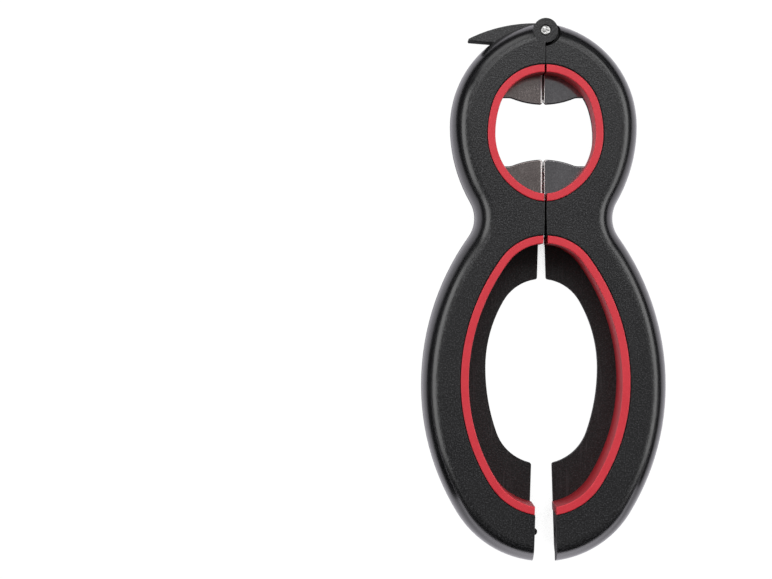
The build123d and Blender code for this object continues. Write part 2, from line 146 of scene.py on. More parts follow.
def between(tree, place, value, low, high, span=(0.0, 1.0)):
    """A number that goes from low to high while the value crosses its span, and no further."""
    ends = {"From Min": span[0], "From Max": span[1], "To Min": low, "To Max": high}
    node = add_node(tree, "ShaderNodeMapRange", place, ends)
    tree.links.new(value, node.inputs["Value"])
    return node.outputs["Result"]


def ramp(tree, value, place, stops, interpolation="LINEAR"):
    """A mask that goes through (value, brightness) stops."""
    node = add_node(tree, "ShaderNodeValToRGB", place)
    node.color_ramp.interpolation = interpolation
    elements = node.color_ramp.elements
    while len(elements) < len(stops):
        elements.new(0.5)
    for element, (position, brightness) in zip(elements, stops):
        element.position = position
        element.color = (brightness, brightness, brightness, 1)
    tree.links.new(value, node.inputs["Fac"])
    return node.outputs["Color"]


def blend(tree, place, factor, low, high, kind="RGBA"):
    """A colour between two others, or with kind "FLOAT" a number, by a factor from 0 to 1."""
    node = add_node(tree, "ShaderNodeMix", place, data_type=kind)
    for name, value in (("Factor", factor), ("A", low), ("B", high)):
        feed(tree, node.inputs[name], value)
    return node.outputs["Result"]


# %% [markdown]
# ## Helpers for node groups
#
# What several finishes share, such as grain and worn edges, goes into a node group with named
# inputs and outputs. It is built once, and each finish places it with its own values.


# %% Make and place groups
def new_group(name, inputs, outputs):
    """A shader node group. Inputs are (name, socket type, default value), outputs (name, type)."""
    group = bpy.data.node_groups.new(name, "ShaderNodeTree")
    for title, kind, value in inputs:
        socket = group.interface.new_socket(name=title, in_out="INPUT", socket_type=kind)
        socket.default_value = value
    for title, kind in outputs:
        group.interface.new_socket(name=title, in_out="OUTPUT", socket_type=kind)
    entry = add_node(group, "NodeGroupInput", (-900, 0))
    leave = add_node(group, "NodeGroupOutput", (700, 0))
    return group, entry, leave


def use_group(tree, group, place, where, inputs=None):
    """Places a node group in a material, with its own values, on coordinates that say where."""
    node = add_node(tree, "ShaderNodeGroup", place, inputs, node_tree=group)
    tree.links.new(where, node.inputs["Vector"])
    return node


# %% [markdown]
# ## Helpers for materials
#
# All finishes are built alike: a Principled BSDF, object coordinates that say where on the opener
# a point lies, and a bump laid over the normal.


# %% Start and finish a material
def new_material(name):
    """An empty material: its tree, its Principled BSDF and its object coordinates."""
    material = bpy.data.materials.new(name)
    tree = empty_tree(material)
    shader = add_node(tree, "ShaderNodeBsdfPrincipled", (600, 0))
    output = add_node(tree, "ShaderNodeOutputMaterial", (900, 0))
    coords = add_node(tree, "ShaderNodeTexCoord", (-1300, 0))
    join_up(tree, (shader.outputs["BSDF"], output.inputs["Surface"]))
    return material, tree, shader, coords.outputs["Object"]


def finish_surface(tree, shader, colour, rough, height, depth, rounded=None):
    """Joins a colour, a roughness and a bump of some depth, over rounded edges if there are any."""
    bump = add_node(tree, "ShaderNodeBump", (200, -300), {"Strength": 1.0, "Distance": depth})
    join_up(
        tree,
        (colour, shader.inputs["Base Color"]),
        (rough, shader.inputs["Roughness"]),
        (height, bump.inputs["Height"]),
        (bump.outputs["Normal"], shader.inputs["Normal"]),
    )
    if rounded is not None:
        tree.links.new(rounded, bump.inputs["Normal"])


def report(material):
    print("finish", material.name, "with", len(material.node_tree.nodes), "nodes")


# %% [markdown]
# ## White sheet
#
# The opener lies on a white sheet, which is one large plane a little below its back. Lamps strong
# enough to make it pure white would wash out the black plastic, so the sheet is only paper gray to
# the lamps, and gets its white in the next step.

# %% Lay the white sheet
FLOOR_SIZE = 8.0
FLOOR_DROP = 0.1 * MM
bpy.ops.mesh.primitive_plane_add(size=FLOOR_SIZE, location=(0, 0, -FLOOR_DROP))
floor = bpy.context.object
floor.name = "white_sheet"
print("white sheet", FLOOR_SIZE, "m wide")

# %% [markdown]
# ## How open the sheet lies
#
# A sheet that shone everywhere would also glow in narrow slits and under the opener, where a real
# one lies in shadow. Ambient occlusion turns the shine down there. Reflections look further around
# than the camera does, and they see the sheet glow beyond the foot, which is what brightens the
# lower shoulders.

# %% Measure how open the sheet lies
SEEN_REACH = 12 * MM
SEEN_STOPS = [(0.05, 0.0), (0.22, 1.0)]
MIRRORED_REACH = 30 * MM
MIRRORED_STOPS = [(0.25, 0.0), (0.5, 1.0)]
GLOW = 2.8
GLOW_SPAN = (-160 * MM, -115 * MM)


def openness(tree, place, reach, stops):
    """How open the sheet lies within a reach, from 0 in a slit to 1."""
    around = add_node(tree, "ShaderNodeAmbientOcclusion", place, {"Distance": reach}, samples=6)
    return ramp(tree, around.outputs["AO"], (place[0] + 200, place[1]), stops)


sheet = bpy.data.materials.new("white_sheet")
tree = empty_tree(sheet)
coords = add_node(tree, "ShaderNodeTexCoord", (-1000, -600))
along = add_node(tree, "ShaderNodeSeparateXYZ", (-800, -600))
join_up(tree, (coords.outputs["Object"], along.inputs["Vector"]))
glow = between(tree, (-600, -600), along.outputs["Y"], GLOW, 1.0, GLOW_SPAN)
seen_open = openness(tree, (-600, -200), SEEN_REACH, SEEN_STOPS)
mirrored_open = openness(tree, (-600, -400), MIRRORED_REACH, MIRRORED_STOPS)
mirrored_open = math_node(tree, "MULTIPLY", (-100, -400), mirrored_open, glow)
print("beyond the foot the sheet mirrors up to", GLOW, "times brighter, at y", in_mm(GLOW_SPAN))

# %% [markdown]
# ## The sheet's own shine
#
# The Light Path node tells rays apart: for the camera and for reflections the sheet shines by
# itself, in a slightly cooler white for reflections. All other rays meet the gray paper.

# %% Make the sheet shine
PAPER_GRAY = (0.42, 0.42, 0.42, 1)
SEEN_WHITE = (1.03, 1.03, 1.03)
MIRRORED_WHITE = (1.05, 1.02, 1.1)
SHINE_SHARE = 0.985
rays = add_node(tree, "ShaderNodeLightPath", (-1000, 0)).outputs
mirrored = rays["Is Glossy Ray"]
white = blend(tree, (-100, 0), mirrored, SEEN_WHITE, MIRRORED_WHITE)
strength = blend(tree, (100, -200), mirrored, seen_open, mirrored_open, "FLOAT")
shining = math_node(tree, "MAXIMUM", (-600, 300), rays["Is Camera Ray"], mirrored)
shining = math_node(tree, "MAXIMUM", (-400, 300), shining, rays["Is Transmission Ray"])
shining = math_node(tree, "MULTIPLY", (-200, 300), shining, SHINE_SHARE)
paper = add_node(tree, "ShaderNodeBsdfDiffuse", (300, 200), {"Color": PAPER_GRAY})
shine = add_node(tree, "ShaderNodeEmission", (300, -100))
blend_in = add_node(tree, "ShaderNodeMixShader", (500, 100))
output = add_node(tree, "ShaderNodeOutputMaterial", (700, 100))
join_up(
    tree,
    (white, shine.inputs["Color"]),
    (strength, shine.inputs["Strength"]),
    (shining, blend_in.inputs["Fac"]),
    (paper.outputs["BSDF"], blend_in.inputs[1]),
    (shine.outputs["Emission"], blend_in.inputs[2]),
    (blend_in.outputs["Shader"], output.inputs["Surface"]),
)
floor.data.materials.append(sheet)
report(sheet)

# %% [markdown]
# ## A dim room
#
# Glossy black plastic shows mostly what it mirrors, so the surroundings matter as much as the
# paint. The room is dim, darker near the floor than overhead and darkest behind the foot, so that
# the lamps' own shapes stand out in the gloss. The camera alone sees plain white instead.

# %% Light the surroundings
ROOM_STRENGTH = 0.25
ROOM_HEIGHTS = [(0.0, 0.02), (0.12, 0.08), (0.3, 0.6), (0.6, 1.0), (1.0, 1.0)]
FOOT_SHARE = 0.05
FOOT_SPAN = (-0.4, -0.08)
world = bpy.data.worlds.new("studio")
tree = empty_tree(world)
direction = add_node(tree, "ShaderNodeTexCoord", (-1100, 0))
split = add_node(tree, "ShaderNodeSeparateXYZ", (-900, 0))
join_up(tree, (direction.outputs["Generated"], split.inputs["Vector"]))
by_height = ramp(tree, split.outputs["Z"], (-500, 0), ROOM_HEIGHTS, "EASE")
by_side = between(tree, (-700, -250), split.outputs["Y"], FOOT_SHARE, 1.0, FOOT_SPAN)
rays = add_node(tree, "ShaderNodeLightPath", (-500, 300)).outputs
room = add_node(tree, "ShaderNodeVectorMath", (-250, -100), operation="MULTIPLY")
studio = add_node(tree, "ShaderNodeBackground", (-50, 0), {"Strength": ROOM_STRENGTH})
white = add_node(tree, "ShaderNodeBackground", (-50, 200), {"Color": (1, 1, 1, 1)})
blend_in = add_node(tree, "ShaderNodeMixShader", (150, 100))
output = add_node(tree, "ShaderNodeOutputWorld", (350, 100))
join_up(
    tree,
    (by_height, room.inputs[0]),
    (by_side, room.inputs[1]),
    (room.outputs["Vector"], studio.inputs["Color"]),
    (rays["Is Camera Ray"], blend_in.inputs["Fac"]),
    (studio.outputs["Background"], blend_in.inputs[1]),
    (white.outputs["Background"], blend_in.inputs[2]),
    (blend_in.outputs["Shader"], output.inputs["Surface"]),
)
bpy.context.scene.world = world
print("room strength", ROOM_STRENGTH)

# %% [markdown]
# ## Softboxes
#
# Point lamps would leave hard dots in the gloss, so the lamps are large rectangles. Two stand low
# at the sides and draw the long highlights of the shoulders. Three stand around the head and light
# the upper shoulders and the steel.

# %% Hang the softboxes
MIDDLE = (0, 0, 0)
POCKETS = (0, 0.07, 0)


def softbox(name, place, aim, width, length, watts):
    """A rectangular lamp that shines from its place towards the aim."""
    toward = Vector(aim) - Vector(place)
    bpy.ops.object.light_add(type="AREA", location=place)
    lamp = bpy.context.object
    lamp.name = name
    lamp.rotation_euler = toward.to_track_quat("-Z", "Y").to_euler()
    lamp.data.shape = "RECTANGLE"
    lamp.data.size = width
    lamp.data.size_y = length
    lamp.data.energy = watts
    print(name, "at", [round(c, 2) for c in place], "m,", watts, "W")


softbox("softbox_left", (-1.0, 0.07, 0.53), POCKETS, width=1.12, length=0.68, watts=8.5)
softbox("softbox_right", (1.0, 0.07, 0.53), POCKETS, width=1.12, length=0.68, watts=8.5)
softbox("softbox_head", (0.0, 0.61, 1.1), MIDDLE, width=1.0, length=0.5, watts=4.8)
softbox("softbox_head_left", (-0.5, 1.0, 0.44), MIDDLE, width=0.75, length=0.7, watts=3.6)
softbox("softbox_head_right", (0.75, 0.88, 0.72), MIDDLE, width=0.55, length=0.45, watts=2.4)

# %% [markdown]
# ## Low black cards
#
# In a studio, black cards stand beside a shiny dark object, so that its rounded edges mirror a
# clean dark line between the bright softbox and the white table. Here one oval fence, as high as
# the shoulders, does it, a little nearer on the left and open at the foot. Only reflections see it:
# it throws no shadow and hides nothing.

# %% Stand the cards around the table
CARD_REACH = (88 * MM, 143 * MM)
CARD_SHIFT = 9 * MM
CARD_HEIGHT = 22 * MM
CARD_END = -95 * MM
CARD_SIDES = 96
CARD_BLACK = (0.004, 0.004, 0.004, 1)
bpy.ops.object.select_all(action="DESELECT")
bpy.ops.mesh.primitive_circle_add(vertices=CARD_SIDES, radius=1)
cards = bpy.context.object
cards.name = "black_cards"
bpy.ops.object.mode_set(mode="EDIT")
bpy.ops.mesh.select_all(action="SELECT")
bpy.ops.transform.resize(value=(*CARD_REACH, 1))
bpy.ops.transform.translate(value=(CARD_SHIFT, 0, 0))
bpy.ops.mesh.extrude_region_move(TRANSFORM_OT_translate={"value": (0, 0, CARD_HEIGHT)})
bpy.ops.mesh.select_all(action="SELECT")
bpy.ops.mesh.bisect(plane_co=(0, CARD_END, 0), plane_no=(0, 1, 0), clear_inner=True)
bpy.ops.object.mode_set(mode="OBJECT")
card_black, _, shader, _ = new_material("card_black")
shader.inputs["Base Color"].default_value = CARD_BLACK
shader.inputs["Specular IOR Level"].default_value = 0
cards.data.materials.append(card_black)
for ray_kind in ("camera", "diffuse", "shadow", "transmission", "volume_scatter"):
    setattr(cards, f"visible_{ray_kind}", False)
print("black cards", round(CARD_HEIGHT / MM), "mm high")

# %% [markdown]
# ## Moulding grain
#
# Four node groups carry what the finishes have in common. The first is the fine, sparkling texture
# that spark erosion leaves in a mould, and that tumbling leaves on sheet steel. Noise alone looks
# soft, so the height adds small cells to it. Its flecks are the tips that stand out.

# %% Group: moulding grain
FLECK_STOPS = [(0.48, 0.0), (0.74, 1.0)]
CELLS_PER_GRAIN = 0.8
CELL_SHARE = 0.6
grain, entry, leave = new_group(
    "moulding_grain",
    [("Vector", "NodeSocketVector", (0, 0, 0)), ("Grains per metre", "NodeSocketFloat", 2400.0)],
    [("Height", "NodeSocketFloat"), ("Fleck", "NodeSocketFloat")],
)
pebbles = add_node(grain, "ShaderNodeTexNoise", (-500, 200), {"Detail": 2.0, "Roughness": 0.6})
cells = add_node(grain, "ShaderNodeTexVoronoi", (-500, -100), feature="F1")
per_metre = entry.outputs["Grains per metre"]
coarser = math_node(grain, "MULTIPLY", (-700, -250), per_metre, CELLS_PER_GRAIN)
fleck = ramp(grain, pebbles.outputs["Fac"], (-200, 200), FLECK_STOPS)
bumps = math_node(grain, "MULTIPLY", (-200, -100), cells.outputs["Distance"], CELL_SHARE)
height = math_node(grain, "ADD", (100, 0), pebbles.outputs["Fac"], bumps)
join_up(
    grain,
    (entry.outputs["Vector"], pebbles.inputs["Vector"]),
    (per_metre, pebbles.inputs["Scale"]),
    (entry.outputs["Vector"], cells.inputs["Vector"]),
    (coarser, cells.inputs["Scale"]),
    (height, leave.inputs["Height"]),
    (fleck, leave.inputs["Fleck"]),
)
print("group", grain.name, "with", len(grain.nodes), "nodes")

# %% [markdown]
# ## Worn edges
#
# No moulded or pressed edge is truly sharp. The Bevel node rounds the normal near every edge, which
# costs no faces. Where the rounded normal and the true one differ, there is an edge, and that gives
# a mask for wear. Noise breaks the mask up, as hands and drawers rub unevenly.

# %% Group: worn, rounded edges
EDGE_STOPS = [(0.02, 0.0), (0.2, 1.0)]
BROKEN_STOPS = [(0.3, 0.35), (0.65, 1.0)]
edge_wear, entry, leave = new_group(
    "worn_edges",
    [("Vector", "NodeSocketVector", (0, 0, 0)), ("Radius", "NodeSocketFloat", 0.3 * MM)],
    [("Mask", "NodeSocketFloat"), ("Rounded", "NodeSocketVector")],
)
rounded = add_node(edge_wear, "ShaderNodeBevel", (-600, 100), samples=4)
surface = add_node(edge_wear, "ShaderNodeNewGeometry", (-600, -150))
alike = add_node(edge_wear, "ShaderNodeVectorMath", (-350, 0), operation="DOT_PRODUCT")
turned = math_node(edge_wear, "SUBTRACT", (-150, 0), 1.0, alike.outputs["Value"])
found = ramp(edge_wear, turned, (0, 0), EDGE_STOPS)
breaks = add_node(edge_wear, "ShaderNodeTexNoise", (-350, -300), {"Scale": 500.0, "Detail": 3.0})
broken = ramp(edge_wear, breaks.outputs["Fac"], (-100, -300), BROKEN_STOPS)
mask = math_node(edge_wear, "MULTIPLY", (400, 0), found, broken)
join_up(
    edge_wear,
    (entry.outputs["Radius"], rounded.inputs["Radius"]),
    (rounded.outputs["Normal"], alike.inputs[0]),
    (surface.outputs["Normal"], alike.inputs[1]),
    (entry.outputs["Vector"], breaks.inputs["Vector"]),
    (mask, leave.inputs["Mask"]),
    (rounded.outputs["Normal"], leave.inputs["Rounded"]),
)
print("group", edge_wear.name, "with", len(edge_wear.nodes), "nodes")

# %% [markdown]
# ## Fine scratches
#
# A scratch is a thin, long mark. Noise that is stretched almost to a line and then cut high leaves
# only such marks, and two layers at a right angle keep them from looking combed.

# %% Group: fine scratches
SCRATCH_STOPS = [(0.63, 0.0), (0.7, 1.0)]
SCRATCH_LAYERS = ((25, 0.03), (-65, 0.05))
scratches, entry, leave = new_group(
    "fine_scratches",
    [
        ("Vector", "NodeSocketVector", (0, 0, 0)),
        ("Scratches per metre", "NodeSocketFloat", 900.0),
        ("Amount", "NodeSocketFloat", 0.5),
    ],
    [("Mask", "NodeSocketFloat")],
)
marks = []
for turn, stretch in SCRATCH_LAYERS:
    row = turn * 4
    laying = {"Rotation": (0, 0, radians(turn)), "Scale": (1, stretch, 1)}
    laid = add_node(scratches, "ShaderNodeMapping", (-600, row), laying)
    lines = add_node(scratches, "ShaderNodeTexNoise", (-400, row), {"Detail": 2.0})
    join_up(
        scratches,
        (entry.outputs["Vector"], laid.inputs["Vector"]),
        (laid.outputs["Vector"], lines.inputs["Vector"]),
        (entry.outputs["Scratches per metre"], lines.inputs["Scale"]),
    )
    marks.append(ramp(scratches, lines.outputs["Fac"], (-200, row), SCRATCH_STOPS))
both = math_node(scratches, "MAXIMUM", (100, 0), *marks)
mask = math_node(scratches, "MULTIPLY", (300, 0), both, entry.outputs["Amount"])
join_up(scratches, (mask, leave.inputs["Mask"]))
print("group", scratches.name, "with", len(scratches.nodes), "nodes")

# %% [markdown]
# ## Handling
#
# Nothing that has been made and held is even all over. A broad, faint cloudiness keeps large
# surfaces from looking printed. Each finish chooses how large its clouds are and what they change.

# %% Group: handling
CLOUD_STOPS = [(0.3, 0.0), (0.7, 1.0)]
handling, entry, leave = new_group(
    "handling",
    [("Vector", "NodeSocketVector", (0, 0, 0)), ("Patches per metre", "NodeSocketFloat", 60.0)],
    [("Unevenness", "NodeSocketFloat")],
)
clouds = add_node(handling, "ShaderNodeTexNoise", (-400, 0), {"Detail": 4.0, "Roughness": 0.65})
uneven = ramp(handling, clouds.outputs["Fac"], (-100, 0), CLOUD_STOPS)
join_up(
    handling,
    (entry.outputs["Vector"], clouds.inputs["Vector"]),
    (entry.outputs["Patches per metre"], clouds.inputs["Scale"]),
    (uneven, leave.inputs["Unevenness"]),
)
print("group", handling.name, "with", len(handling.nodes), "nodes")

# %% [markdown]
# ## Which way a surface faces
#
# Faces, shoulders and walls of one moulding differ in finish. They could be painted apart by hand.
# The upright part of the surface's own normal tells them apart everywhere and never looks at the
# camera, so all views agree.


# %% Faces and walls
def facing(tree, place):
    """How much the surface faces up or down, from 0 on a wall to 1 on a flat, by its own normal."""
    surface = add_node(tree, "ShaderNodeNewGeometry", (place[0] - 400, place[1]))
    normal = add_node(tree, "ShaderNodeSeparateXYZ", (place[0] - 200, place[1]))
    tree.links.new(surface.outputs["Normal"], normal.inputs["Vector"])
    return math_node(tree, "ABSOLUTE", place, normal.outputs["Z"])


# %% [markdown]
# ## Black moulded plastic
#
# One recipe serves the front shells, the back shells and the beak. The mould is grained where it
# faces forward, smooth on the shoulders, and dull on the upright walls, which nobody polishes.

# %% Black plastic
RUBBED_SHARE = 0.25
FACE_STOPS = [(0.8, 0.1), (0.97, 1.0)]
WALL_STOPS = [(0.04, 1.0), (0.12, 0.0)]
WALL_DULLNESS = 0.45
LEAST_SHIFT, MOST_SHIFT = -0.03, 0.04


def black_plastic(name, dark, fleck_colour, satin, grained, grain_depth, scratched=0.0):
    """Moulded black plastic: satin on its shoulders, grained on its face, with worn edges."""
    material, tree, shader, where = new_material(name)
    pebble = use_group(tree, grain, (-1000, 200), where, {"Grains per metre": 2000.0})
    uneven = use_group(tree, handling, (-1000, 0), where)
    worn = use_group(tree, edge_wear, (-1000, -150), where, {"Radius": 0.22 * MM})
    marks = use_group(tree, scratches, (-1000, 400), where, {"Amount": scratched})
    flat = facing(tree, (-1100, -400))
    grained_here = ramp(tree, flat, (-900, -400), FACE_STOPS, "EASE")
    flecks = math_node(tree, "MULTIPLY", (-700, 200), pebble.outputs["Fleck"], grained_here)
    wear = math_node(tree, "MULTIPLY", (-700, -150), worn.outputs["Mask"], RUBBED_SHARE)
    lighter = math_node(tree, "MAXIMUM", (-500, 50), flecks, wear)
    lighter = math_node(tree, "MAXIMUM", (-350, 50), lighter, marks.outputs["Mask"])
    colour = blend(tree, (-100, 200), lighter, dark, fleck_colour)
    rough = between(tree, (-500, -350), grained_here, satin, grained)
    cloudy = uneven.outputs["Unevenness"]
    shift = between(tree, (-500, -550), cloudy, LEAST_SHIFT, MOST_SHIFT)
    rough = math_node(tree, "ADD", (-250, -400), rough, shift)
    wall = ramp(tree, flat, (-500, -750), WALL_STOPS)
    rough = math_node(tree, "MULTIPLY_ADD", (-100, -400), wall, WALL_DULLNESS, rough)
    relief = math_node(tree, "MULTIPLY", (-500, 400), pebble.outputs["Height"], grained_here)
    finish_surface(tree, shader, colour, rough, relief, grain_depth, worn.outputs["Rounded"])
    report(material)
    return material


# %% [markdown]
# ## Three blacks
#
# The front shells are the glossiest, because thumbs polish them. The back shells are darker,
# duller and scratched from lying on a table. The beak is a flatter, grayer moulding of its own.

# %% Mix the three blacks
shell_black = black_plastic(
    "shell_black",
    dark=(0.0052, 0.0052, 0.0058),
    fleck_colour=(0.062, 0.062, 0.066),
    satin=0.22,
    grained=0.34,
    grain_depth=0.06 * MM,
)
back_black = black_plastic(
    "back_black",
    dark=(0.003, 0.003, 0.0033),
    fleck_colour=(0.045, 0.044, 0.048),
    satin=0.3,
    grained=0.42,
    grain_depth=0.05 * MM,
    scratched=0.6,
)
beak_black = black_plastic(
    "beak_black",
    dark=(0.013, 0.013, 0.014),
    fleck_colour=(0.095, 0.095, 0.1),
    satin=0.6,
    grained=0.4,
    grain_depth=0.06 * MM,
)

# %% [markdown]
# ## Red soft lining
#
# The linings are a matte, slightly rubbery plastic, a little bleached in faint clouds. The upright
# walls inside the pockets are painted a darker red as shade. The rest of the life comes from a very
# fine dusty tooth in the surface and from edges that catch a little more light.

# %% Red lining
RIM_RED = (0.56, 0.021, 0.036)
BLEACHED_RED = (0.64, 0.033, 0.05)
SHADED_WALL_RED = (0.34, 0.008, 0.016)
RUBBED_RED = (0.78, 0.09, 0.11)
WALL_SHADE_STOPS = [(0.15, 1.0), (0.6, 0.0)]
FLECK_SHARE, CLOUDY_SHARE = 0.7, 0.4
LINING_SMOOTH, LINING_ROUGH = 0.5, 0.6
TOOTH_DEPTH = 0.02 * MM
lining_red, tree, shader, where = new_material("lining_red")
tooth = use_group(tree, grain, (-900, -200), where, {"Grains per metre": 2100.0})
uneven = use_group(tree, handling, (-900, 100), where, {"Patches per metre": 110.0})
worn = use_group(tree, edge_wear, (-900, 300), where, {"Radius": 0.2 * MM})
cloudy = uneven.outputs["Unevenness"]
mottle = math_node(tree, "MULTIPLY", (-600, 0), tooth.outputs["Fleck"], FLECK_SHARE)
mottle = math_node(tree, "MULTIPLY_ADD", (-450, 50), cloudy, CLOUDY_SHARE, mottle)
# Painted shade: upright walls inside the pockets are painted a darker red.
wall_shade = ramp(tree, facing(tree, (-600, -500)), (-400, -500), WALL_SHADE_STOPS)
wear = math_node(tree, "MULTIPLY", (-300, 450), worn.outputs["Mask"], RUBBED_SHARE)
colour = blend(tree, (-300, 200), mottle, RIM_RED, BLEACHED_RED)
colour = blend(tree, (-130, 200), wall_shade, colour, SHADED_WALL_RED)
colour = blend(tree, (50, 200), wear, colour, RUBBED_RED)
rough = between(tree, (-300, -100), cloudy, LINING_SMOOTH, LINING_ROUGH)
finish_surface(
    tree, shader, colour, rough, tooth.outputs["Height"], TOOTH_DEPTH, worn.outputs["Rounded"]
)
report(lining_red)

# %% [markdown]
# ## Painted highlight and shade on the lips
#
# Each lip is sheet steel that turns down beside the split of the arms. A bright highlight is painted
# on its bend. Painted shade darkens the strip below it in the split gap, the steep walls and the
# rims elsewhere. How far a point lies from the split and how its normal leans tell these apart.

# %% Masks for the lips
NEAR_SPLIT = 1.6 * MM
CORNER_STOPS = [(0.9, 1.0), (0.985, 0.0)]
STEEP_STOPS = [(0.7, 1.0), (0.88, 0.0)]
ROLLED_STOPS = [(0.97, 1.0), (0.995, 0.0)]


def lip_masks(tree, where, gap_shade_to, highlight_to):
    """Masks for the painted highlight on the bend and the painted shade on walls, rims and split
    gap, by the distance from the split.
    """
    flat = facing(tree, (-900, -500))
    across = add_node(tree, "ShaderNodeSeparateXYZ", (-900, -750))
    tree.links.new(where, across.inputs["Vector"])
    from_split = math_node(tree, "ABSOLUTE", (-700, -750), across.outputs["X"])
    # Painted shade on the strip nearest the split, in the gap, and a painted highlight on the band
    # just beyond it.
    gap_shade = math_node(tree, "LESS_THAN", (-550, -650), from_split, gap_shade_to)
    highlight_band = math_node(tree, "LESS_THAN", (-550, -750), from_split, highlight_to)
    near = math_node(tree, "LESS_THAN", (-550, -900), from_split, NEAR_SPLIT)
    apart = math_node(tree, "SUBTRACT", (-400, -900), 1.0, near)
    turning = ramp(tree, flat, (-550, -1050), CORNER_STOPS)
    corner = math_node(tree, "MULTIPLY", (-250, -900), near, turning)
    painted_highlight = math_node(tree, "MAXIMUM", (-100, -750), highlight_band, corner)
    steep = ramp(tree, flat, (-400, -400), STEEP_STOPS)
    rolled = ramp(tree, flat, (-550, -1250), ROLLED_STOPS)
    rim = math_node(tree, "MULTIPLY", (-250, -1050), rolled, apart)
    # Painted shade on steep walls and on rims away from the split.
    painted_shade = math_node(tree, "MAXIMUM", (-100, -400), steep, rim)
    painted_shade = math_node(tree, "MAXIMUM", (50, -400), painted_shade, gap_shade)
    return painted_highlight, painted_shade


# %% [markdown]
# ## Sheet steel
#
# All the metal is unpainted, so Metallic is 1 and the base colour is what it mirrors with. The lips
# were tumbled after stamping, which leaves them finely speckled, a little cloudy and scratched.

# %% Sheet steel
HIGHLIGHT_WHITE = (0.95, 0.93, 0.92)
BEND_DULLNESS = 0.35
CLOUD_SHARE = 0.2
SPECKLE_SHARE = 0.75
SPECKLE_DEPTH = 0.003 * MM
SMOOTHER, ROUGHER = -0.03, 0.05


def sheet_steel(name, dull, bright, painted_shade_colour, roughness, gap_shade_to, highlight_to):
    """Tumbled sheet: speckled, with a painted highlight on the bend beside the split and painted
    shade on its walls, rims and split gap.
    """
    material, tree, shader, where = new_material(name)
    shader.inputs["Metallic"].default_value = 1.0
    speckle = use_group(tree, grain, (-1000, 200), where, {"Grains per metre": 2300.0})
    uneven = use_group(tree, handling, (-1000, 0), where, {"Patches per metre": 140.0})
    worn = use_group(tree, edge_wear, (-1000, -150), where, {"Radius": 0.12 * MM})
    scratching = {"Scratches per metre": 2600.0, "Amount": 0.12}
    marks = use_group(tree, scratches, (-1000, 400), where, scratching)
    painted_highlight, painted_shade = lip_masks(tree, where, gap_shade_to, highlight_to)
    height = speckle.outputs["Height"]
    lighter = math_node(tree, "MULTIPLY", (-700, 0), uneven.outputs["Unevenness"], CLOUD_SHARE)
    lighter = math_node(tree, "MULTIPLY_ADD", (-550, 200), height, SPECKLE_SHARE, lighter)
    lighter = math_node(tree, "ADD", (-400, 200), lighter, marks.outputs["Mask"])
    colour = blend(tree, (-250, 200), lighter, dull, bright)
    # Painted highlight: the bend beside the split is painted near white.
    colour = blend(tree, (-50, 200), painted_highlight, colour, HIGHLIGHT_WHITE)
    # Painted shade: the walls, the rims and the strip in the split gap are painted near black.
    colour = blend(tree, (200, 200), painted_shade, colour, painted_shade_colour)
    ends = (roughness + SMOOTHER, roughness + ROUGHER)
    rough = between(tree, (-300, -100), speckle.outputs["Fleck"], *ends)
    rough = math_node(tree, "MULTIPLY_ADD", (-100, -100), painted_highlight, BEND_DULLNESS, rough)
    finish_surface(tree, shader, colour, rough, height, SPECKLE_DEPTH, worn.outputs["Rounded"])
    report(material)
    return material


# %% [markdown]
# ## The two lips' steel
#
# The two stampings are not twins: the left one has a warmer, lighter tone and a wider painted
# highlight on its bend, while the right one is cooler and a little smoother.

# %% Mix the lips' steel
lip_steel = {
    "left": sheet_steel(
        "lip_steel_left",
        dull=(0.145, 0.118, 0.113),
        bright=(0.52, 0.455, 0.445),
        painted_shade_colour=(0.012, 0.009, 0.009),
        roughness=0.17,
        gap_shade_to=0.36 * MM,
        highlight_to=0.92 * MM,
    ),
    "right": sheet_steel(
        "lip_steel_right",
        dull=(0.14, 0.132, 0.14),
        bright=(0.44, 0.43, 0.45),
        painted_shade_colour=(0.012, 0.009, 0.01),
        roughness=0.13,
        gap_shade_to=0.28 * MM,
        highlight_to=0.62 * MM,
    ),
}

# %% [markdown]
# ## Worked steel
#
# The pin's head is peened, and the screws have a cloudy zinc coat. Both are uneven in soft patches
# rather than speckled, so a second recipe blends two tones by the handling group and lets the worn
# edges shine.

# %% Worked steel
GRAINS_PER_PATCH = 3.0
DULL_PATCH, BRIGHT_PATCH = 0.1, -0.05
PATCH_DEPTH = 0.02 * MM


def worked_steel(name, dull, bright, roughness, patches):
    """Steel that a tool or a zinc bath has left uneven: soft patches between two tones."""
    material, tree, shader, where = new_material(name)
    shader.inputs["Metallic"].default_value = 1.0
    uneven = use_group(tree, handling, (-1000, 100), where, {"Patches per metre": patches})
    grains = GRAINS_PER_PATCH * patches
    fine = use_group(tree, grain, (-1000, -100), where, {"Grains per metre": grains})
    worn = use_group(tree, edge_wear, (-1000, 300), where, {"Radius": 0.12 * MM})
    patchy = uneven.outputs["Unevenness"]
    lighter = math_node(tree, "MAXIMUM", (-500, 200), patchy, worn.outputs["Mask"])
    colour = blend(tree, (0, 200), lighter, dull, bright)
    ends = (roughness + DULL_PATCH, roughness + BRIGHT_PATCH)
    rough = between(tree, (-300, -100), patchy, *ends)
    height = fine.outputs["Height"]
    finish_surface(tree, shader, colour, rough, height, PATCH_DEPTH, worn.outputs["Rounded"])
    report(material)
    return material


# %% [markdown]
# ## Peened steel and zinc
#
# Hammering brightens the pin in small spots. The zinc coat of the screws and the washer is
# bluer, and its clouds are larger.

# %% Mix the worked steels
pin_steel = worked_steel(
    "pin_steel",
    dull=(0.3, 0.3, 0.29),
    bright=(0.86, 0.86, 0.85),
    roughness=0.36,
    patches=900.0,
)
screw_steel = worked_steel(
    "screw_steel",
    dull=(0.3, 0.31, 0.34),
    bright=(0.62, 0.62, 0.6),
    roughness=0.34,
    patches=420.0,
)

# %% [markdown]
# ## Stud rubber
#
# The stud that cushions the shut arms is plain black rubber with a fine matte bloom. It is too
# small and too soft to show wear, so it does without the edge group.

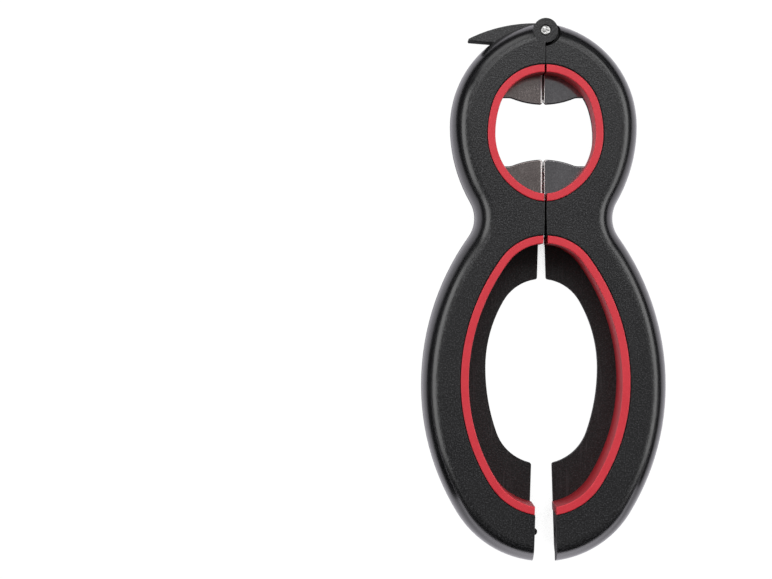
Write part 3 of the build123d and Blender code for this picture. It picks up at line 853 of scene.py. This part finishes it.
# %% Stud rubber
RUBBER_BLACK = (0.004, 0.004, 0.004)
RUBBER_BLOOM = (0.016, 0.015, 0.015)
RUBBER_SMOOTH, RUBBER_ROUGH = 0.4, 0.55
BLOOM_DEPTH = 0.006 * MM
stud_rubber, tree, shader, where = new_material("stud_rubber")
tooth = use_group(tree, grain, (-900, -200), where, {"Grains per metre": 5200.0})
uneven = use_group(tree, handling, (-900, 100), where, {"Patches per metre": 900.0})
bloom = uneven.outputs["Unevenness"]
colour = blend(tree, (0, 200), bloom, RUBBER_BLACK, RUBBER_BLOOM)
rough = between(tree, (-300, -100), bloom, RUBBER_SMOOTH, RUBBER_ROUGH)
finish_surface(tree, shader, colour, rough, tooth.outputs["Height"], BLOOM_DEPTH)
report(stud_rubber)

# %% [markdown]
# ## Dressing the moulded and pressed parts
#
# The shells, the linings, the lips, the beak, the stud and the washer have the right shape as
# solids: their shoulders, seams and shadow gaps are all there. So these nodes stay as they are and
# only take a finish.


# %% Finishes on the CAD nodes
def dress(node, finish):
    """Gives a CAD node one material."""
    slots = frame["nodes"][node].data.materials
    slots.clear()
    slots.append(finish)


for arm in ("left", "right"):
    dress(f"{arm}_front_shell", shell_black)
    dress(f"{arm}_back_shell", back_black)
    dress(f"{arm}_cap_liner", lining_red)
    dress(f"{arm}_jar_liner", lining_red)
    dress(f"{arm}_cap_plate", lip_steel[arm])
dress("ring_pull_beak", beak_black)
dress("foot_stud", stud_rubber)
dress("pin_washer", screw_steel)
print("dressed nodes:", sum(1 for node in frame["nodes"].values() if node.data.materials))

# %% [markdown]
# ## Helpers for modelling
#
# An operator works on whatever is selected, so each piece is made the only selected and active one
# before anything is done to it.


# %% Helpers for pieces
def pick(piece):
    """Makes one piece the only selected and the active one."""
    bpy.ops.object.select_all(action="DESELECT")
    piece.hide_set(False)
    piece.select_set(True)
    bpy.context.view_layer.objects.active = piece


def finish_with(piece, kind, **settings):
    """Adds a modifier with its settings and applies it."""
    pick(piece)
    modifier = piece.modifiers.new(kind.lower(), kind)
    for name, value in settings.items():
        setattr(modifier, name, value)
    bpy.ops.object.modifier_apply(modifier=modifier.name)


def triangles(piece):
    return sum(len(face.vertices) - 2 for face in piece.data.polygons)


# %% [markdown]
# ## Turning on a lathe
#
# The pin and the screws are round about an axis. Blender's Spin tool could turn a half outline into
# a body. Here a ring of vertices is extruded and resized step by step instead, because each step is
# then one plain line of the outline: a radius and a height.


# %% The lathe
def lathe(name, outline, place=(0, 0), sides=48):
    """A body turned about an upright axis, from (radius, height) rings. The last stays open."""
    x, y = place
    (radius, z), *later = outline
    bpy.ops.object.select_all(action="DESELECT")
    bpy.ops.mesh.primitive_circle_add(vertices=sides, radius=radius, fill_type="NGON")
    piece = bpy.context.object
    piece.name = name
    bpy.ops.object.mode_set(mode="EDIT")
    bpy.ops.mesh.select_all(action="SELECT")
    bpy.ops.transform.translate(value=(x, y, z))
    bpy.ops.mesh.select_mode(type="EDGE")
    for next_radius, next_z in later:
        bpy.ops.mesh.extrude_edges_move(TRANSFORM_OT_translate={"value": (0, 0, next_z - z)})
        scale = next_radius / radius
        bpy.ops.transform.resize(value=(scale, scale, 1), center_override=(x, y, next_z))
        radius, z = next_radius, next_z
    return piece


# %% [markdown]
# ## Hinge pin
#
# The pin is a plain rod that was peened over at both ends: into a wide tail on the washer, and into
# a low head in the knuckle. Hammering leaves shallow dents, so the head is closed with a grid fine
# enough to carry them.

# %% Turn the hinge pin
PIN_RADIUS = 1.6 * MM
TAIL_RADIUS = 2.2 * MM
HEAD_RADIUS = 1.85 * MM
TAIL_HEIGHT = 0.5 * MM
GRID_SPAN = 12
pin_low, pin_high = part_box("hinge_pin")
hinge_at = frame["joints"][0]["pos_m"][:2]
top = pin_high[2]
pin = lathe(
    "hinge_pin_peened",
    [
        (TAIL_RADIUS - 0.25 * MM, pin_low[2]),
        (TAIL_RADIUS, pin_low[2] + 0.12 * MM),
        (TAIL_RADIUS, pin_low[2] + TAIL_HEIGHT),
        (PIN_RADIUS, pin_low[2] + TAIL_HEIGHT),
        (PIN_RADIUS, top - 0.7 * MM),
        (HEAD_RADIUS - 0.03 * MM, top - 0.66 * MM),
        (HEAD_RADIUS, top - 0.4 * MM),
        (HEAD_RADIUS - 0.05 * MM, top - 0.2 * MM),
        (HEAD_RADIUS - 0.19 * MM, top - 0.07 * MM),
        (HEAD_RADIUS - 0.4 * MM, top),
    ],
    hinge_at,
)
bpy.ops.mesh.fill_grid(span=GRID_SPAN)
bpy.ops.mesh.subdivide(number_cuts=2)
bpy.ops.mesh.select_all(action="SELECT")
bpy.ops.mesh.normals_make_consistent(inside=False)
bpy.ops.object.mode_set(mode="OBJECT")
print(pin.name, in_mm([pin_high[2] - pin_low[2]]), "mm long, hinge at", in_mm(hinge_at), "mm")

# %% [markdown]
# ## Hammer marks
#
# The dents could be modelled one by one. A Displace modifier with a cell pattern presses many soft
# ones in at once, and it only moves the vertices of the head's top, which a vertex group names.

# %% Peen the pin's head
DENTED_RADIUS = 1.4 * MM
DENT_SIZE = 0.9 * MM
DENT_DEPTH = 0.2 * MM
SMOOTH_BELOW = radians(40)
hammered = pin.vertex_groups.new(name="hammered")
near_axis = [
    vertex.index
    for vertex in pin.data.vertices
    if vertex.co.z > top - 0.01 * MM
    and (vertex.co.xy - Vector(hinge_at)).length < DENTED_RADIUS
]
hammered.add(near_axis, 1.0, "REPLACE")
dents = bpy.data.textures.new("dents", "VORONOI")
dents.noise_scale = DENT_SIZE
finish_with(
    pin,
    "DISPLACE",
    texture=dents,
    texture_coords="LOCAL",
    direction="Z",
    strength=-DENT_DEPTH,
    mid_level=0.0,
    vertex_group="hammered",
)
bpy.ops.object.shade_smooth_by_angle(angle=SMOOTH_BELOW)
pin.data.materials.append(pin_steel)
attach(pin, "left_arm")
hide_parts("hinge_pin")
print(pin.name, triangles(pin), "triangles,", len(near_axis), "vertices dented")

# %% [markdown]
# ## Screws
#
# Each arm's shells are drawn together from the back by four pan head screws with a cross recess.
# They are all alike, so one screw is turned, from its pointed end up in the arm down to its head.

# %% Turn one screw
SCREW_SHANK = 1.25 * MM
SCREW_HEAD = 2.4 * MM
HEAD_HEIGHT = 1.9 * MM
screw_low, screw_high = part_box("left_screws")
under_head = screw_low[2] + HEAD_HEIGHT
screw = lathe(
    "screw",
    [
        (0.8 * MM, screw_high[2]),
        (SCREW_SHANK, screw_high[2] - 0.6 * MM),
        (SCREW_SHANK, under_head),
        (SCREW_HEAD, under_head),
        (SCREW_HEAD, screw_low[2] + 0.95 * MM),
        (2.3 * MM, screw_low[2] + 0.5 * MM),
        (2.0 * MM, screw_low[2] + 0.18 * MM),
        (1.5 * MM, screw_low[2] + 0.03 * MM),
        (1.1 * MM, screw_low[2]),
    ],
)
bpy.ops.mesh.edge_face_add()
bpy.ops.mesh.select_all(action="SELECT")
bpy.ops.mesh.normals_make_consistent(inside=False)
bpy.ops.object.mode_set(mode="OBJECT")
print("one screw", in_mm([screw_high[2] - screw_low[2]]), "mm long")

# %% [markdown]
# ## Cross recess
#
# A driver's cross narrows and shortens as it goes in. So the cutter is a bar whose inner end is
# drawn together, and it is taken away from the head twice, the second time a quarter turn further.

# %% Cut the cross recess
RECESS_LENGTH = 3.3 * MM
RECESS_WIDTH = 0.75 * MM
CUTTER_DEPTH = 1.3 * MM
CUTTER_START = screw_low[2] - 0.2 * MM
INNER_END = (0.55, 0.8, 1)
SCREW_SMOOTH_BELOW = radians(35)


def tapered_bar(name, length, width, depth, z):
    """One arm of the cross: a bar that grows narrower and shorter towards its top."""
    bpy.ops.object.select_all(action="DESELECT")
    bpy.ops.mesh.primitive_cube_add(size=1)
    bar = bpy.context.object
    bar.name = name
    bpy.ops.object.mode_set(mode="EDIT")
    bpy.ops.mesh.select_all(action="SELECT")
    bpy.ops.transform.resize(value=(length, width, depth))
    bpy.ops.transform.translate(value=(0, 0, z + depth / 2))
    bpy.ops.mesh.select_all(action="DESELECT")
    bpy.ops.object.mode_set(mode="OBJECT")
    for face in bar.data.polygons:
        face.select = face.normal.z > 0.5
    bpy.ops.object.mode_set(mode="EDIT")
    bpy.ops.mesh.select_mode(type="FACE")
    bpy.ops.transform.resize(value=INNER_END, center_override=(0, 0, z + depth))
    bpy.ops.object.mode_set(mode="OBJECT")
    return bar


for turn in (0, 90):
    cutter = tapered_bar("recess_cutter", RECESS_LENGTH, RECESS_WIDTH, CUTTER_DEPTH, CUTTER_START)
    cutter.data.transform(Matrix.Rotation(radians(turn), 4, "Z"))
    finish_with(screw, "BOOLEAN", operation="DIFFERENCE", object=cutter, solver="EXACT")
    bpy.data.objects.remove(cutter)
pick(screw)
bpy.ops.object.shade_smooth_by_angle(angle=SCREW_SMOOTH_BELOW)
screw.data.materials.append(screw_steel)
print("one screw", triangles(screw), "triangles")

# %% [markdown]
# ## The screws' places
#
# The CAD node of an arm's screws holds four bodies in one mesh. A copy of it is taken apart, and
# the middle of each body's outline gives a screw's axis.


# %% Find the screws' axes
def screw_places(node):
    """The axis of each separate body in a CAD node, from a copy that is taken apart."""
    spare = bpy.data.objects.new("spare", frame["nodes"][node].data.copy())
    bpy.context.scene.collection.objects.link(spare)
    pick(spare)
    bpy.ops.object.mode_set(mode="EDIT")
    bpy.ops.mesh.select_all(action="SELECT")
    bpy.ops.mesh.remove_doubles(threshold=0.001 * MM)
    bpy.ops.mesh.separate(type="LOOSE")
    bpy.ops.object.mode_set(mode="OBJECT")
    found = []
    for body in list(bpy.context.selected_objects):
        corners = [vertex.co.xy for vertex in body.data.vertices]
        found.append(
            [(min(c[i] for c in corners) + max(c[i] for c in corners)) / 2 for i in (0, 1)]
        )
        bpy.data.objects.remove(body)
    return sorted(found, key=lambda place: -place[1])


# %% [markdown]
# ## All eight screws
#
# Each copy of the screw has its own mesh and is turned a little further round than the one before,
# because a driver never leaves two crosses alike.

# %% Copy the screw to all its places
TURN_STEP = 37
TURN_START = {"left": 0, "right": 61}
for arm, start in TURN_START.items():
    for number, (x, y) in enumerate(screw_places(f"{arm}_screws"), start=1):
        copy = bpy.data.objects.new(f"{arm}_screw_{number}", screw.data.copy())
        bpy.context.scene.collection.objects.link(copy)
        turned = Matrix.Rotation(radians(TURN_STEP * number + start), 4, "Z")
        copy.data.transform(Matrix.Translation((x, y, 0)) @ turned)
        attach(copy, f"{arm}_arm")
        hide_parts(f"{arm}_screws")
        print(copy.name, "at", in_mm((x, y)), "mm")
bpy.data.objects.remove(screw)
